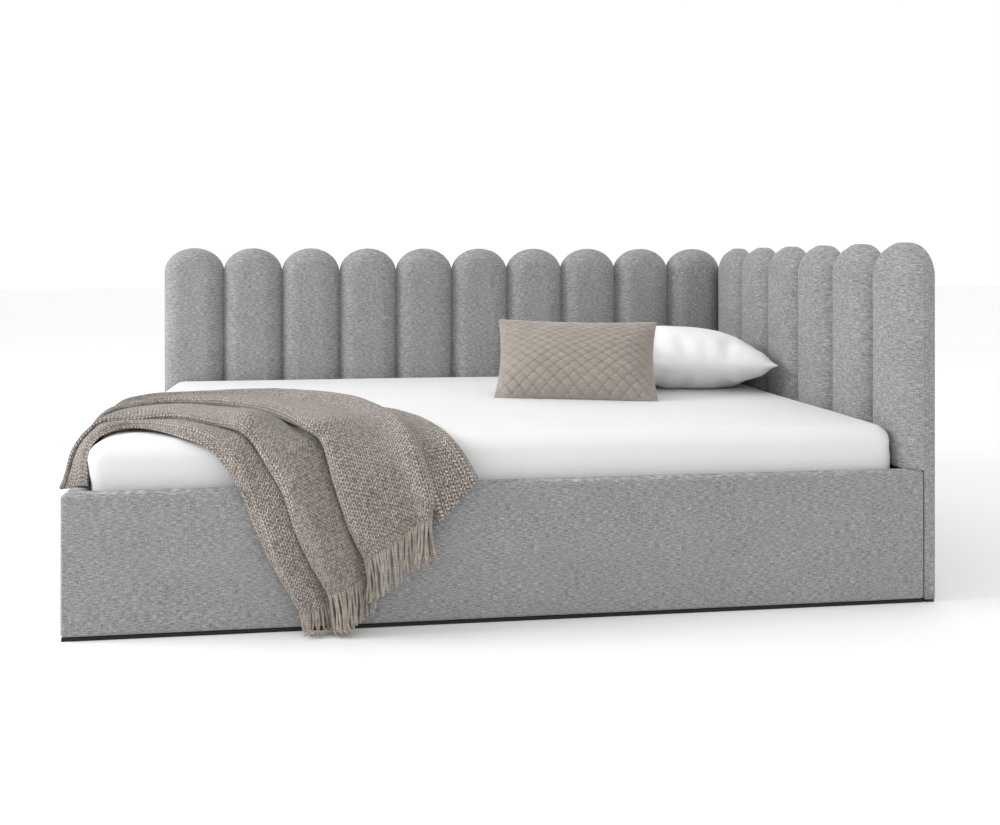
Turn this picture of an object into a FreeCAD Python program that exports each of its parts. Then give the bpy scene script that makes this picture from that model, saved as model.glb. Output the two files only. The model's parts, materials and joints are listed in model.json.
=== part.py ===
"""Upholstered corner bed with scalloped channel panels, slatted base, mattress and bedding.

Millimetres. +Z is up, +X runs from the foot rail to the head panel, and +Y runs from the open
front rail to the back panel. The origin is on the floor, under the middle of the whole set.
Every place below is first measured from the outer corner of the foot rail and the front rail,
and place() moves it to the origin.
"""
import FreeCAD
import Part
import math
import os
import Sketcher

SIZES = [
    ("strip_high", 8, "floor strip under the boards"),
    ("strip_inset", 3, "floor strip behind the faces over it"),
    ("rail_high", 328, "front and foot rail, bottom edge to top edge"),
    ("rail_thick", 45, "front and foot rail with its padding"),
    ("rail_board_thick", 22, "chipboard inside a rail"),
    ("rail_pad", 15, "padding on a rail's outer side"),
    ("rail_end_pad", 8, "padding on a rail's ends and top"),
    ("rail_round", 9, "rounding of a rail's upholstered edges"),
    ("pitch", 212, "width of one sewn channel"),
    ("back_count", 10, "channels along the back panel"),
    ("head_count", 6, "channels along the head panel"),
    ("channel_deep", 42, "foam channel, front to back"),
    ("channel_round", 20, "rounding of a channel's front edges"),
    ("channel_gap", 0.4, "seam between two channels"),
    ("scallop_rise", 74, "height of each rounded top over the notch beside it"),
    ("notch_high", 848, "notches between the rounded tops, over the floor"),
    ("panel_thick", 30, "back and head panel without their channels"),
    ("panel_skin", 6, "padding and fabric round a panel's board"),
    ("mattress_long", 2025, "mattress with its sheet along X"),
    ("mattress_wide", 1218, "mattress with its sheet along Y"),
    ("mattress_thick", 180, "mattress with its sheet"),
    ("mattress_top", 444, "lying surface over the floor"),
    ("mattress_round", 45, "mattress corners in plan"),
    ("mattress_edge", 24, "mattress top edge"),
    ("foot_gap", 3, "foot rail to mattress"),
    ("front_gap", 5, "front rail to mattress"),
    ("sheet_thick", 3, "fitted sheet with its quilted top"),
    ("clearance", 0.4, "gap between pieces that lift apart"),
    ("slat_count", 13, "slats across the base"),
    ("slat_wide", 68, "slat along X"),
    ("slat_thick", 8, "slat"),
    ("base_rail_wide", 35, "long rail of the slatted base"),
    ("base_rail_high", 40, "long rail of the slatted base"),
    ("base_gap", 4, "slatted base to the front rail"),
    ("holder_wall", 4, "plastic cap round a slat end"),
    ("holder_floor", 5.6, "plastic cap under a slat end"),
    ("holder_long", 36, "plastic cap along the slat"),
    ("ledge_high", 40, "batten that carries the slatted base"),
    ("front_ledge_deep", 30, "front batten"),
    ("back_ledge_deep", 74, "back batten, wide enough to reach under the base"),
    ("ledge_end_gap", 60, "batten ends to the end boards"),
    ("beam_wide", 30, "steel centre beam"),
    ("beam_high", 40, "steel centre beam"),
    ("plate", 4, "steel plate of the brackets"),
    ("leg_wide", 30, "square leg under the centre beam"),
    ("pad_radius", 22, "rubber pad under a centre leg"),
    ("pad_high", 16, "rubber pad under a centre leg"),
    ("bracket_wide", 60, "corner bracket flange"),
    ("bracket_high", 120, "corner bracket"),
    ("bracket_low", 30, "corner bracket over the floor"),
    ("bolt_radius", 4, "bolt shank"),
    ("bolt_head_radius", 8, "bolt head"),
    ("bolt_head_high", 4, "bolt head"),
    ("bolt_long", 24, "bolt shank into the board"),
    ("screw_radius", 2.5, "wood screw shank"),
    ("screw_head_radius", 5, "wood screw head"),
    ("screw_head_high", 2, "wood screw head"),
    ("screw_long", 18, "wood screw past the batten"),
    ("pillow_long", 700, "pillow"),
    ("pillow_wide", 480, "pillow"),
    ("pillow_thick", 190, "pillow"),
    ("pillow_plan_round", 60, "pillow corners in plan"),
    ("pillow_edge_round", 70, "pillow top and bottom edges"),
    ("pillow_mid_x", 1685, "middle of the pillow from the foot rail's outer face"),
    ("pillow_mid_y", 960, "middle of the pillow from the front rail's outer face"),
    ("pillow_turn", -6, "pillow turned about Z, degrees"),
    ("cushion_long", 480, "lumbar cushion"),
    ("cushion_tall", 255, "lumbar cushion"),
    ("cushion_thick", 104, "lumbar cushion"),
    ("cushion_round", 50, "lumbar cushion edges"),
    ("cushion_foot_x", 1350, "middle of the cushion's lower back edge"),
    ("cushion_foot_y", 668, "middle of the cushion's lower back edge"),
    ("cushion_turn", -12, "cushion turned about Z, degrees"),
    ("cushion_lean", 28, "cushion leaning back, degrees"),
    ("throw_out", 30, "how far the throw stands out past the rails"),
    ("throw_thick", 26, "folded throw on the mattress"),
    ("throw_hang_thick", 26, "folded throw in front of the rail"),
    ("throw_rest", 10, "behind the mattress edge, where the throw starts to lie flat"),
    ("throw_brink", 3, "before the mattress edge, where the throw's underside turns down"),
    ("throw_bevel", 20, "slope of the throw's upper side over the mattress edge"),
    ("throw_shoulder", 40, "height of the throw's outer side over a rail"),
    ("throw_over_rail", 9, "throw's underside over a rail's top"),
    ("throw_front_start", 310, "throw over the front rail, from the foot rail's outer face"),
    ("throw_front_long", 600, "throw over the front rail"),
    ("throw_foot_end", 460, "throw over the foot rail, from the front rail's outer face"),
    ("throw_foot_long", 360, "throw over the foot rail"),
    ("fringe_thick", 6, "fringe"),
]

doc = FreeCAD.newDocument("corner_bed")
sheet = doc.addObject("Spreadsheet::Sheet", "Sizes")
for row, (alias, amount, meaning) in enumerate(SIZES, start=1):
    sheet.set(f"A{row}", alias)
    sheet.set(f"B{row}", str(amount))
    sheet.setAlias(f"B{row}", alias)
    sheet.set(f"C{row}", meaning)
doc.recompute()

# Derived places, as expressions on the sheet.
BACK_LONG = "Sizes.pitch * Sizes.back_count"
BOARD_X = BACK_LONG
OUT_X = f"({BACK_LONG} + Sizes.panel_thick)"
MATTRESS_X = "(Sizes.rail_thick + Sizes.foot_gap)"
MATTRESS_Y = "(Sizes.rail_thick + Sizes.front_gap)"
CROWN_X = f"({BOARD_X} - Sizes.channel_deep)"
CROWN_Y = f"({MATTRESS_Y} + Sizes.mattress_wide + Sizes.front_gap)"
BOARD_Y = f"({CROWN_Y} + Sizes.channel_deep)"
OUT_Y = f"({BOARD_Y} + Sizes.panel_thick)"
RAIL_TOP = "(Sizes.strip_high + Sizes.rail_high)"
MATTRESS_LOW = "(Sizes.mattress_top - Sizes.mattress_thick)"
SLAT_LOW = f"({MATTRESS_LOW} - Sizes.clearance - Sizes.slat_thick)"
BASE_TOP = f"({SLAT_LOW} - Sizes.holder_floor)"
BASE_LOW = f"({BASE_TOP} - Sizes.base_rail_high)"
LEDGE_TOP = f"({BASE_LOW} - Sizes.clearance)"
LEDGE_LOW = f"({LEDGE_TOP} - Sizes.ledge_high)"
BASE_Y = "(Sizes.rail_thick + Sizes.base_gap)"
BASE_END_Y = f"({CROWN_Y} - Sizes.base_gap)"
BASE_END_X = f"({CROWN_X} - Sizes.base_gap)"
BEAM_TOP = LEDGE_TOP
BEAM_LOW = f"({BEAM_TOP} - Sizes.beam_high)"
BEAM_Y = f"({MATTRESS_Y} + Sizes.mattress_wide / 2)"
CENTRE_X = f"(({OUT_X} - Sizes.throw_out) / 2)"
CENTRE_Y = f"(({OUT_Y} - Sizes.throw_out) / 2)"

nodes = []


def value(expression):
    """The number that an expression on the sheet has now."""
    return float(sheet.evalExpression(expression.replace("Sizes.", "")))


def bind(thing, **expressions):
    for prop, expression in expressions.items():
        thing.setExpression(prop, str(expression))


def place(thing, x, y, z):
    """Put a piece's own zero at a place measured from the foot and front rails' outer corner."""
    thing.setExpression("Placement.Base.x", f"{x} - {CENTRE_X}")
    thing.setExpression("Placement.Base.y", f"{y} - {CENTRE_Y}")
    thing.setExpression("Placement.Base.z", str(z))


def keep(thing, label):
    """Name a finished piece; each one becomes a node and a file."""
    thing.Label = label
    nodes.append(thing)
    return thing


def box(name, x, y, z, along_x, along_y, along_z):
    block = doc.addObject("Part::Box", name)
    bind(block, Length=along_x, Width=along_y, Height=along_z)
    place(block, x, y, z)
    return block


def cylinder(name, x, y, z, radius, length, axis="Z"):
    rod = doc.addObject("Part::Cylinder", name)
    turns = {
        "Z": FreeCAD.Rotation(),
        "Y": FreeCAD.Rotation(FreeCAD.Vector(1, 0, 0), -90),
        "X": FreeCAD.Rotation(FreeCAD.Vector(0, 1, 0), 90),
        "-Y": FreeCAD.Rotation(FreeCAD.Vector(1, 0, 0), 90),
        "-X": FreeCAD.Rotation(FreeCAD.Vector(0, 1, 0), -90),
    }
    rod.Placement = FreeCAD.Placement(FreeCAD.Vector(), turns[axis])
    bind(rod, Radius=radius, Height=length)
    place(rod, x, y, z)
    return rod


def joined(name, pieces):
    union = doc.addObject("Part::MultiFuse", name)
    union.Shapes = pieces
    return union


def group(name, pieces):
    """Identical pieces that stay separate solids in one node."""
    bundle = doc.addObject("Part::Compound", name)
    bundle.Links = pieces
    return bundle


def cut(name, base, tool):
    rest = doc.addObject("Part::Cut", name)
    rest.Base = base
    rest.Tool = tool
    return rest


def new_body(name, x, y, z):
    body = doc.addObject("PartDesign::Body", name)
    place(body, x, y, z)
    return body


def new_sketch(body, role, name="Outline"):
    plane = next(item for item in body.Origin.OriginFeatures if item.Role == role)
    sketch = body.newObject("Sketcher::SketchObject", name)
    sketch.AttachmentSupport = [(plane, "")]
    sketch.MapMode = "FlatFace"
    return sketch


def line(sketch, start, end):
    ends = [FreeCAD.Vector(start[0], start[1], 0), FreeCAD.Vector(end[0], end[1], 0)]
    return sketch.addGeometry(Part.LineSegment(ends[0], ends[1]), False)


def distance(sketch, kind, picks, name, expression):
    """A named distance in a sketch, bound to the sheet."""
    index = sketch.addConstraint(Sketcher.Constraint(kind, *picks, value(expression)))
    sketch.renameConstraint(index, name)
    sketch.setExpression(f"Constraints.{name}", expression)


def rectangle(sketch, wide, tall, left=None, low=None):
    """A rectangle whose lower left corner is at the sketch's zero, or at left and low."""
    x0 = value(left) if left else 0
    y0 = value(low) if low else 0
    x1 = x0 + value(wide)
    y1 = y0 + value(tall)
    corners = [(x0, y0), (x1, y0), (x1, y1), (x0, y1)]
    for side in range(4):
        line(sketch, corners[side], corners[(side + 1) % 4])
    for side in range(4):
        sketch.addConstraint(Sketcher.Constraint("Coincident", side, 2, (side + 1) % 4, 1))
    for side in (0, 2):
        sketch.addConstraint(Sketcher.Constraint("Horizontal", side))
        sketch.addConstraint(Sketcher.Constraint("Vertical", side + 1))
    distance(sketch, "DistanceX", (0, 1, 0, 2), "wide", wide)
    distance(sketch, "DistanceY", (1, 1, 1, 2), "tall", tall)
    if left:
        distance(sketch, "DistanceX", (-1, 1, 0, 1), "left", left)
        distance(sketch, "DistanceY", (-1, 1, 0, 1), "low", low)
    else:
        sketch.addConstraint(Sketcher.Constraint("Coincident", 0, 1, -1, 1))


def pad(body, sketch, length, reversed_side=False):
    solid = body.newObject("PartDesign::Pad", "Pad")
    solid.Profile = sketch
    solid.Reversed = reversed_side
    bind(solid, Length=length)
    return solid


def pocket(body, sketch, length, reversed_side=False):
    hollow = body.newObject("PartDesign::Pocket", "Pocket")
    hollow.Profile = sketch
    hollow.Reversed = reversed_side
    bind(hollow, Length=length)
    return hollow


def fillet(body, base, radius, chosen):
    """Round the edges of a feature for which chosen(edge) is true."""
    doc.recompute()
    edges = [f"Edge{n}" for n, edge in enumerate(base.Shape.Edges, start=1) if chosen(edge)]
    rounding = body.newObject("PartDesign::Fillet", "Fillet")
    rounding.Base = (base, edges)
    bind(rounding, Radius=radius)
    return rounding


def at(edge, axis, place_on_axis):
    """Whether an edge lies wholly at one coordinate of its body's own frame."""
    low = [edge.BoundBox.XMin, edge.BoundBox.YMin, edge.BoundBox.ZMin][axis]
    high = [edge.BoundBox.XMax, edge.BoundBox.YMax, edge.BoundBox.ZMax][axis]
    return abs(low - place_on_axis) < 0.01 and abs(high - place_on_axis) < 0.01


def is_upright(edge):
    return edge.BoundBox.XLength < 0.01 and edge.BoundBox.YLength < 0.01


def polygon_solid(label, role, points, length, x, y, z, reversed_side=False):
    """A flat outline of straight sides, padded."""
    body = new_body(label, x, y, z)
    sketch = new_sketch(body, role)
    for index, point in enumerate(points):
        line(sketch, point, points[(index + 1) % len(points)])
    for index in range(len(points)):
        after = (index + 1) % len(points)
        sketch.addConstraint(Sketcher.Constraint("Coincident", index, 2, after, 1))
        sketch.addConstraint(Sketcher.Constraint("Block", index))
    pad(body, sketch, length, reversed_side)
    return body


def scalloped_outline(sketch, count, inset, tail):
    """A panel's outline: straight foot and ends, and a row of equal arcs for its top.

    inset shrinks it all round except at the foot, and tail is a level stretch after the last
    arc, where the panel passes behind its neighbour.
    """
    pitch = value("Sizes.pitch")
    rise = value("Sizes.scallop_rise")
    notch = value("Sizes.notch_high - Sizes.strip_high")
    outer_radius = (pitch ** 2 / 4 + rise ** 2) / (2 * rise)
    radius = outer_radius - inset
    centre_high = notch + rise - outer_radius
    half = [math.sqrt(radius ** 2 - (pitch / 2 - trim) ** 2) for trim in (0, inset)]
    notch_in = centre_high + half[0]
    end_in = centre_high + half[1]
    end = count * pitch + tail - inset
    last_x = count * pitch if tail else end
    last_high = notch_in if tail else end_in
    line(sketch, (end, 0), (inset, 0))
    line(sketch, (inset, 0), (inset, end_in))
    for index in range(count):
        middle = FreeCAD.Vector((index + 0.5) * pitch, centre_high, 0)
        left = (inset, end_in) if index == 0 else (index * pitch, notch_in)
        right = ((index + 1) * pitch, notch_in) if index < count - 1 else (last_x, last_high)
        angles = [math.atan2(point[1] - middle.y, point[0] - middle.x) for point in (right, left)]
        circle = Part.Circle(middle, FreeCAD.Vector(0, 0, 1), radius)
        sketch.addGeometry(Part.ArcOfCircle(circle, angles[0], angles[1]), False)
    if tail:
        line(sketch, (last_x, last_high), (end, last_high))
    line(sketch, (end, last_high), (end, 0))
    lines_and_arcs = sketch.GeometryCount
    sketch.addConstraint(Sketcher.Constraint("Coincident", 0, 2, 1, 1))
    sketch.addConstraint(Sketcher.Constraint("Coincident", 1, 2, 2, 2))
    for index in range(count - 1):
        sketch.addConstraint(Sketcher.Constraint("Coincident", 2 + index, 1, 3 + index, 2))
    after = 2 + count
    sketch.addConstraint(Sketcher.Constraint("Coincident", 1 + count, 1, after, 1))
    if tail:
        sketch.addConstraint(Sketcher.Constraint("Coincident", after, 2, after + 1, 1))
    sketch.addConstraint(Sketcher.Constraint("Coincident", lines_and_arcs - 1, 2, 0, 1))
    for index in range(lines_and_arcs):
        sketch.addConstraint(Sketcher.Constraint("Block", index))


def corner_rail(name, x, y, along_x, along_y, board_box):
    """A padded rail: a chipboard core, and a cover that is open below."""
    body = new_body(f"{name}_cover", x, y, "Sizes.strip_high")
    solid = pad(body, new_rectangle(body, along_x, along_y), "Sizes.rail_high")
    top = value("Sizes.rail_high")
    rounded = fillet(body, solid, "Sizes.rail_round", lambda edge: at(edge, 2, top))
    left, low, wide, tall = board_box
    opening = new_sketch(body, "XY_Plane", "Opening")
    rectangle(opening, wide, tall, left, low)
    pocket(body, opening, "Sizes.rail_high - Sizes.rail_end_pad", True)
    doc.recompute()
    if body.Shape.Volume > rounded.Shape.Volume - 1000:
        raise RuntimeError(f"{name}: the board's opening was not cut")
    keep(body, f"{name}_cover")
    board = box(f"{name}_board", f"{x} + {left}", f"{y} + {low}", "Sizes.strip_high",
                wide, tall, "Sizes.rail_high - Sizes.rail_end_pad")
    keep(board, f"{name}_board")


def new_rectangle(body, wide, tall):
    sketch = new_sketch(body, "XY_Plane")
    rectangle(sketch, wide, tall)
    return sketch


def rails():
    corner_rail("front_rail", "0", "0", BOARD_X, "Sizes.rail_thick",
                ("Sizes.rail_end_pad", "Sizes.rail_pad",
                 f"{BOARD_X} - 2 * Sizes.rail_end_pad", "Sizes.rail_board_thick"))
    corner_rail("foot_rail", "0", "Sizes.rail_thick",
                "Sizes.rail_thick", f"{BOARD_Y} - Sizes.rail_thick",
                ("Sizes.rail_pad", "Sizes.rail_end_pad", "Sizes.rail_board_thick",
                 f"{BOARD_Y} - Sizes.rail_thick - 2 * Sizes.rail_end_pad"))


def panel(name, role, count, tail, x, y, outward_reversed):
    """A scalloped board, and the fabric cover round its back and edges."""
    deep = "Sizes.panel_thick"
    board_deep = "Sizes.panel_thick - Sizes.panel_skin"
    cover = new_body(f"{name}_cover", x, y, "Sizes.strip_high")
    outline = new_sketch(cover, role)
    scalloped_outline(outline, count, 0, tail)
    solid = pad(cover, outline, deep, outward_reversed)
    inside = new_sketch(cover, role, "Inside")
    skin = value("Sizes.panel_skin")
    scalloped_outline(inside, count, skin, tail)
    pocket(cover, inside, board_deep, not outward_reversed)
    doc.recompute()
    if cover.Shape.Volume > 0.6 * solid.Shape.Volume:
        raise RuntimeError(f"{name}: the board's place was not cut")
    keep(cover, f"{name}_cover")
    board = new_body(f"{name}_board", x, y, "Sizes.strip_high")
    core = new_sketch(board, role)
    scalloped_outline(core, count, skin, tail)
    pad(board, core, board_deep, outward_reversed)
    keep(board, f"{name}_board")


def channel(label, role, wide, x, y, crown_axis, crown_at, corner=False):
    """One foam channel: straight sides, an arc for its top, rounded towards the bed.

    The corner channel is narrower, and only its sides are rounded.
    """
    pitch = value("Sizes.pitch")
    rise = value("Sizes.scallop_rise")
    tall = value(f"Sizes.notch_high - {RAIL_TOP} - Sizes.clearance")
    across = value(wide)
    radius = (pitch ** 2 / 4 + rise ** 2) / (2 * rise)
    middle = FreeCAD.Vector(pitch / 2, tall + rise - radius, 0)
    body = new_body(label, x, y, f"{RAIL_TOP} + Sizes.clearance")
    sketch = new_sketch(body, role)
    edge_high = [middle.y + math.sqrt(radius ** 2 - (end - middle.x) ** 2) for end in (0, across)]
    line(sketch, (0, 0), (across, 0))
    line(sketch, (across, 0), (across, edge_high[1]))
    angles = [math.atan2(edge_high[1] - middle.y, across - middle.x),
              math.atan2(edge_high[0] - middle.y, -middle.x)]
    circle = Part.Circle(middle, FreeCAD.Vector(0, 0, 1), radius)
    sketch.addGeometry(Part.ArcOfCircle(circle, angles[0], angles[1]), False)
    line(sketch, (0, edge_high[0]), (0, 0))
    joins = [(0, 2, 1, 1), (1, 2, 2, 1), (2, 2, 3, 1), (3, 2, 0, 1)]
    for join in joins:
        sketch.addConstraint(Sketcher.Constraint("Coincident", *join))
    sketch.addConstraint(Sketcher.Constraint("Coincident", 0, 1, -1, 1))
    sketch.addConstraint(Sketcher.Constraint("Horizontal", 0))
    sketch.addConstraint(Sketcher.Constraint("Vertical", 1))
    sketch.addConstraint(Sketcher.Constraint("Vertical", 3))
    distance(sketch, "DistanceX", (0, 1, 0, 2), "wide", wide)
    distance(sketch, "DistanceY", (0, 2, 2, 3), "centre_high",
             f"Sizes.notch_high - {RAIL_TOP} - Sizes.clearance + Sizes.scallop_rise"
             " - (Sizes.pitch ^ 2 / 4 + Sizes.scallop_rise ^ 2) / (2 * Sizes.scallop_rise)")
    distance(sketch, "DistanceX", (0, 1, 2, 3), "centre_along", "Sizes.pitch / 2")
    sketch.addConstraint(Sketcher.Constraint("Radius", 2, radius))
    solid = pad(body, sketch, "Sizes.channel_deep")
    fillet(body, solid, "Sizes.channel_round",
           lambda edge: at(edge, crown_axis, crown_at) and (is_upright(edge) or not corner)
           and edge.BoundBox.ZMax > 1)
    keep(body, label)


def panels():
    tail = value(f"{OUT_Y} - Sizes.pitch * Sizes.head_count")
    back_count = int(value("Sizes.back_count"))
    head_count = int(value("Sizes.head_count"))
    panel("back_panel", "XZ_Plane", back_count, 0, "0", BOARD_Y, True)
    panel("head_panel", "YZ_Plane", head_count, tail, BOARD_X, "0", False)
    deep = value("Sizes.channel_deep")
    for index in range(back_count):
        start = f"Sizes.pitch * {index} + Sizes.channel_gap / 2"
        channel(f"back_channel_{index + 1:02d}", "XZ_Plane", "Sizes.pitch - Sizes.channel_gap",
                start, BOARD_Y, 1, -deep)
    for index in range(head_count):
        start = f"Sizes.pitch * {index} + Sizes.channel_gap / 2"
        wide = "Sizes.pitch - Sizes.channel_gap"
        corner = index == head_count - 1
        if corner:
            wide = f"{CROWN_Y} - Sizes.channel_gap * 2 - Sizes.pitch * {index}"
        channel(f"head_channel_{index + 1:02d}", "YZ_Plane", wide, CROWN_X, start, 0, 0, corner)


def slatted_base():
    """Three long rails, two end rails, and slats whose ends sit in plastic caps."""
    start_x = MATTRESS_X
    long_x = f"{BASE_END_X} - {start_x}"
    rail_wide = "Sizes.base_rail_wide"
    rail_high = "Sizes.base_rail_high"
    back_y = f"{BASE_END_Y} - {rail_wide}"
    keep(box("base_rail_front", start_x, BASE_Y, BASE_LOW, long_x, rail_wide, rail_high),
         "base_rail_front")
    keep(box("base_rail_back", start_x, back_y, BASE_LOW, long_x, rail_wide, rail_high),
         "base_rail_back")
    between = f"{back_y} - {BASE_Y} - {rail_wide}"
    inner_y = f"{BASE_Y} + {rail_wide}"
    ends = [box(f"base_end_{side}", x, inner_y, BASE_LOW, rail_wide, between, rail_high)
            for side, x in (("foot", start_x), ("head", f"{BASE_END_X} - {rail_wide}"))]
    keep(group("base_end_rails", ends), "base_end_rails")
    keep(box("base_rail_centre", f"{start_x} + {rail_wide}", f"{BEAM_Y} - {rail_wide} / 2",
             BASE_LOW, f"{long_x} - 2 * {rail_wide}", rail_wide, rail_high), "base_rail_centre")
    count = int(value("Sizes.slat_count"))
    caps = []
    wall = "Sizes.holder_wall"
    for index in range(count):
        x = (f"{start_x} + Sizes.base_rail_wide + {wall} + {index} * ({long_x}"
             f" - 2 * Sizes.base_rail_wide - 2 * {wall} - Sizes.slat_wide) / {count - 1}")
        slat_y = f"{BASE_Y} + {wall}"
        slat_long = f"{BASE_END_Y} - {BASE_Y} - 2 * {wall}"
        slat = box(f"slat_{index + 1:02d}", x, slat_y, SLAT_LOW,
                   "Sizes.slat_wide", slat_long, "Sizes.slat_thick")
        keep(slat, f"slat_{index + 1:02d}")
        for side, y in (("front", BASE_Y), ("back", f"{BASE_END_Y} - Sizes.holder_long")):
            block = box(f"cap_block_{side}_{index}", f"{x} - {wall}", y, BASE_TOP,
                        f"Sizes.slat_wide + 2 * {wall}", "Sizes.holder_long",
                        "Sizes.holder_floor + Sizes.slat_thick")
            room = box(f"cap_room_{side}_{index}", x, slat_y, SLAT_LOW,
                       "Sizes.slat_wide", slat_long, "Sizes.slat_thick")
            caps.append(cut(f"cap_{side}_{index}", block, room))
    keep(group("slat_caps", caps), "slat_caps")


def supports():
    """Battens, centre beam with its brackets, legs and pads, corner brackets and fasteners."""
    ledge_x = "Sizes.rail_thick + Sizes.ledge_end_gap"
    ledge_long = f"{BOARD_X} - Sizes.rail_thick - 2 * Sizes.ledge_end_gap"
    back_y = f"{BOARD_Y} - Sizes.back_ledge_deep"
    keep(box("front_ledge", ledge_x, "Sizes.rail_thick", LEDGE_LOW, ledge_long,
             "Sizes.front_ledge_deep", "Sizes.ledge_high"), "front_ledge")
    keep(box("back_ledge", ledge_x, back_y, LEDGE_LOW, ledge_long,
             "Sizes.back_ledge_deep", "Sizes.ledge_high"), "back_ledge")

    beam_y = f"{BEAM_Y} - Sizes.beam_wide / 2"
    beam_x = "Sizes.rail_thick + Sizes.plate"
    beam_long = f"{BOARD_X} - Sizes.rail_thick - 2 * Sizes.plate"
    keep(box("center_beam", beam_x, beam_y, BEAM_LOW, beam_long, "Sizes.beam_wide",
             "Sizes.beam_high"), "center_beam")
    hangers = []
    shelf_long = "Sizes.beam_high"
    for side, plate_x, shelf_x in (
            ("foot", "Sizes.rail_thick", beam_x),
            ("head", f"{BOARD_X} - Sizes.plate", f"{BOARD_X} - Sizes.plate - {shelf_long}")):
        plate = box(f"hanger_plate_{side}", plate_x, f"{beam_y} - Sizes.beam_wide / 2",
                    f"{BEAM_LOW} - Sizes.plate", "Sizes.plate", "Sizes.beam_wide * 2",
                    "Sizes.beam_high + Sizes.plate")
        shelf = box(f"hanger_shelf_{side}", shelf_x, beam_y, f"{BEAM_LOW} - Sizes.plate",
                    shelf_long, "Sizes.beam_wide", "Sizes.plate")
        hangers.append(joined(f"hanger_{side}", [plate, shelf]))
    keep(group("beam_brackets", hangers), "beam_brackets")

    legs = []
    pads = []
    for third in (1, 2):
        leg_x = f"{BOARD_X} * {third} / 3"
        legs.append(box(f"leg_{third}", f"{leg_x} - Sizes.leg_wide / 2",
                        f"{BEAM_Y} - Sizes.leg_wide / 2", "Sizes.pad_high",
                        "Sizes.leg_wide", "Sizes.leg_wide", f"{BEAM_LOW} - Sizes.pad_high"))
        pads.append(cylinder(f"pad_{third}", leg_x, BEAM_Y, "0", "Sizes.pad_radius",
                             "Sizes.pad_high"))
    keep(group("beam_legs", legs), "beam_legs")
    keep(group("leg_pads", pads), "leg_pads")


def corner_fixings():
    """A steel angle in each corner, with two bolts through each of its flanges."""
    angles = []
    bolts = []
    flange = "Sizes.bracket_wide"
    thick = "Sizes.plate"
    for corner, wall_x, wall_y, way_x, way_y in (
            ("foot_front", "Sizes.rail_thick", "Sizes.rail_thick", 1, 1),
            ("foot_back", "Sizes.rail_thick", BOARD_Y, 1, -1),
            ("head_front", BOARD_X, "Sizes.rail_thick", -1, 1),
            ("head_back", BOARD_X, BOARD_Y, -1, -1)):
        low_x = wall_x if way_x > 0 else f"{wall_x} - {flange}"
        low_y = wall_y if way_y > 0 else f"{wall_y} - {flange}"
        skin_x = wall_x if way_x > 0 else f"{wall_x} - {thick}"
        skin_y = wall_y if way_y > 0 else f"{wall_y} - {thick}"
        along_x = box(f"flange_y_{corner}", low_x, skin_y, "Sizes.bracket_low", flange, thick,
                      "Sizes.bracket_high")
        along_y = box(f"flange_x_{corner}", skin_x, low_y, "Sizes.bracket_low", thick, flange,
                      "Sizes.bracket_high")
        angles.append(joined(f"angle_{corner}", [along_x, along_y]))
        for step in (1, 3):
            z = f"Sizes.bracket_low + Sizes.bracket_high * {step} / 4"
            out = f"{flange} * 2 / 3"
            bolts.append(fastener(f"bolt_y_{corner}_{step}", f"{wall_x} + {way_x} * {out}",
                                  f"{wall_y} + {way_y} * {thick}", z, "-Y" if way_y > 0 else "Y",
                                  "bolt", "Sizes.bolt_long"))
            bolts.append(fastener(f"bolt_x_{corner}_{step}", f"{wall_x} + {way_x} * {thick}",
                                  f"{wall_y} + {way_y} * {out}", z, "-X" if way_x > 0 else "X",
                                  "bolt", "Sizes.bolt_long"))
    keep(group("corner_brackets", angles), "corner_brackets")
    keep(group("corner_bolts", bolts), "corner_bolts")


def fastener(name, x, y, z, axis, kind, length):
    """A head that sits on a surface, and a shank that goes from it along axis."""
    head_high = f"Sizes.{kind}_head_high"
    shank = cylinder(f"{name}_shank", x, y, z, f"Sizes.{kind}_radius", length, axis)
    back = {"X": (-1, 0), "-X": (1, 0), "Y": (0, -1), "-Y": (0, 1)}[axis]
    head = cylinder(f"{name}_head", f"{x} + {back[0]} * {head_high}",
                    f"{y} + {back[1]} * {head_high}", z,
                    f"Sizes.{kind}_head_radius", head_high, axis)
    return joined(name, [head, shank])


def ledge_screws():
    """Screws through the battens into the boards behind them."""
    screws = []
    count = 6
    z = f"{LEDGE_LOW} + Sizes.ledge_high / 2"
    for index in range(count):
        x = f"Sizes.rail_thick + ({BOARD_X} - Sizes.rail_thick) * {index + 0.5} / {count}"
        screws.append(fastener(f"screw_front_{index}", x,
                               "Sizes.rail_thick + Sizes.front_ledge_deep", z, "-Y", "screw",
                               "Sizes.front_ledge_deep + Sizes.screw_long"))
        screws.append(fastener(f"screw_back_{index}", x,
                               f"{BOARD_Y} - Sizes.back_ledge_deep", z, "Y", "screw",
                               "Sizes.back_ledge_deep + Sizes.screw_long"))
    keep(group("ledge_screws", screws), "ledge_screws")


def floor_strips():
    """Black plastic strips under the boards, which the whole bed stands on."""
    inset = "Sizes.strip_inset"
    rail_deep = f"Sizes.rail_thick - 2 * {inset}"
    panel_deep = f"Sizes.panel_thick - 2 * {inset}"
    spots = (("front", inset, inset, f"{BOARD_X} - 2 * {inset}", rail_deep),
             ("foot", inset, "Sizes.rail_thick", rail_deep, f"{BOARD_Y} - Sizes.rail_thick"),
             ("back", inset, f"{BOARD_Y} + {inset}", f"{BOARD_X} - 2 * {inset}", panel_deep),
             ("head", f"{BOARD_X} + {inset}", inset, panel_deep, f"{OUT_Y} - 2 * {inset}"))
    strips = [box(f"strip_{side}", x, y, "0", along_x, along_y, "Sizes.strip_high")
              for side, x, y, along_x, along_y in spots]
    keep(group("floor_strips", strips), "floor_strips")


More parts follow.
